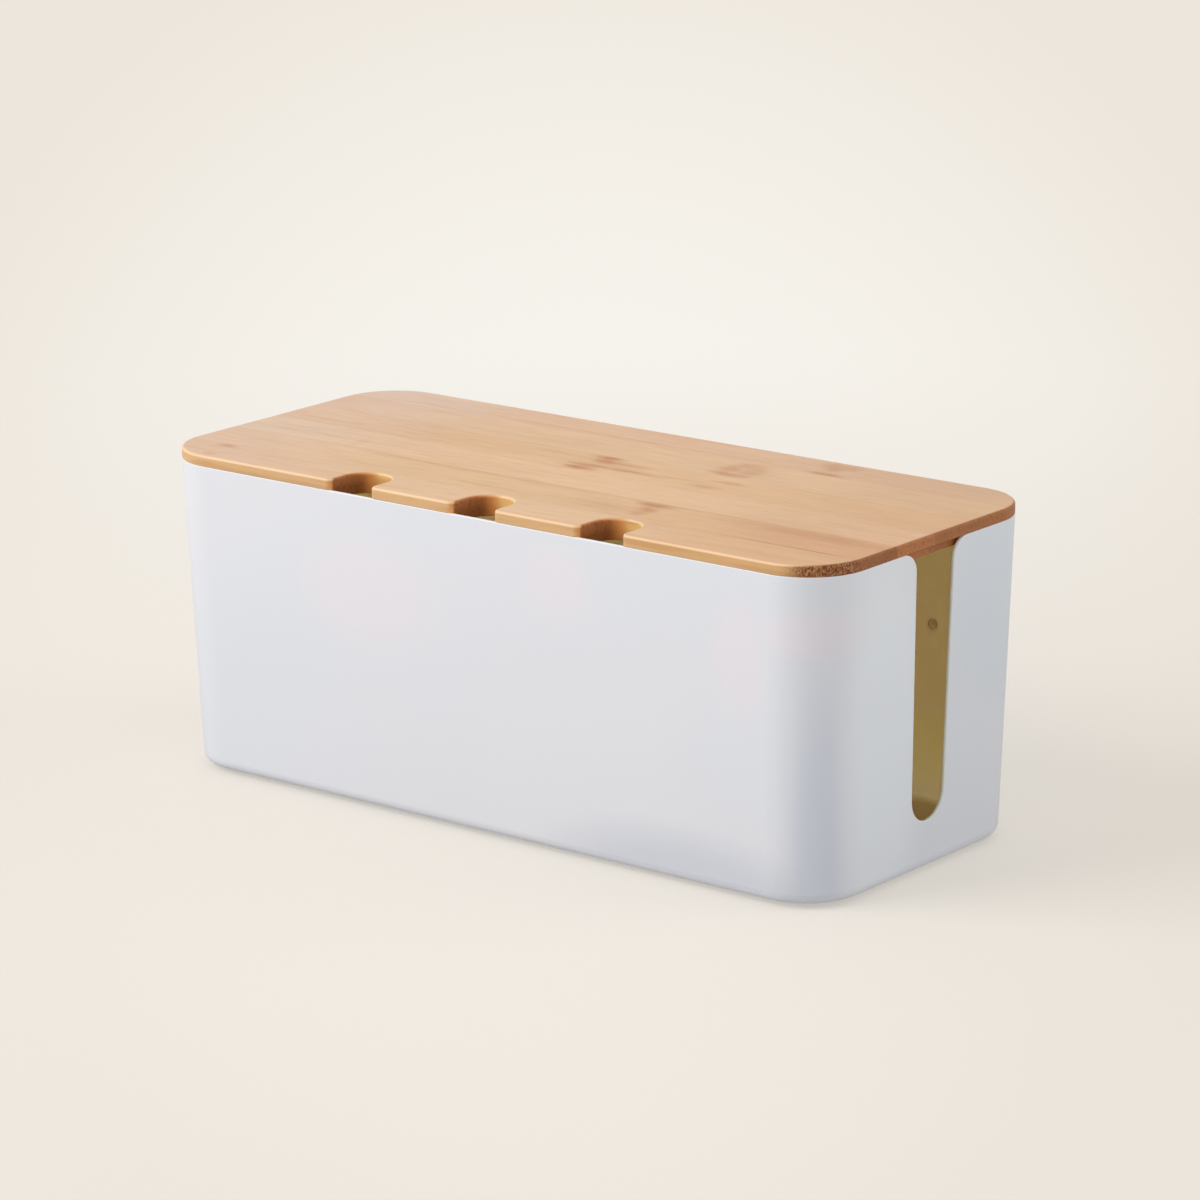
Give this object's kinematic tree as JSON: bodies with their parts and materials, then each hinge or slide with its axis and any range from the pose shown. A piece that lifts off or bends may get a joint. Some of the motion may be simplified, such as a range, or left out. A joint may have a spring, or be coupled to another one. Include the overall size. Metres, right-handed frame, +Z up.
{
  "type": "cable management box",
  "caption": "Rounded white moulded cable box with tapered walls, an open slot in each end and a loose bamboo lid with cable notches along its front edge.",
  "frame": {"origin": "on the surface that the box stands on, under the middle of the tub", "axes": "+X along the box to its right end as seen from the notched side, +Y from the notched front to the back, +Z up"},
  "size_m": [0.32, 0.136, 0.129],
  "materials": {
    "shell": "satin white moulded plastic, olive gold inside",
    "bamboo": "clear matt varnish on edge-glued bamboo strips",
    "foot_rubber": "soft matt rubber"
  },
  "bodies": {
    "box": {"box_body": "shell", "foot_front_left": "foot_rubber", "foot_front_right": "foot_rubber", "foot_rear_left": "foot_rubber", "foot_rear_right": "foot_rubber"},
    "lid": {"lid_strip_1": "bamboo", "lid_strip_2": "bamboo", "lid_strip_3": "bamboo", "lid_strip_4": "bamboo", "lid_strip_5": "bamboo", "lid_strip_6": "bamboo"}
  },
  "joints": [
    {"name": "lid_lift", "type": "slide", "parent": "box", "child": "lid", "axis": [0, 0, 1], "range_m": [0, 0.06]}
  ]
}
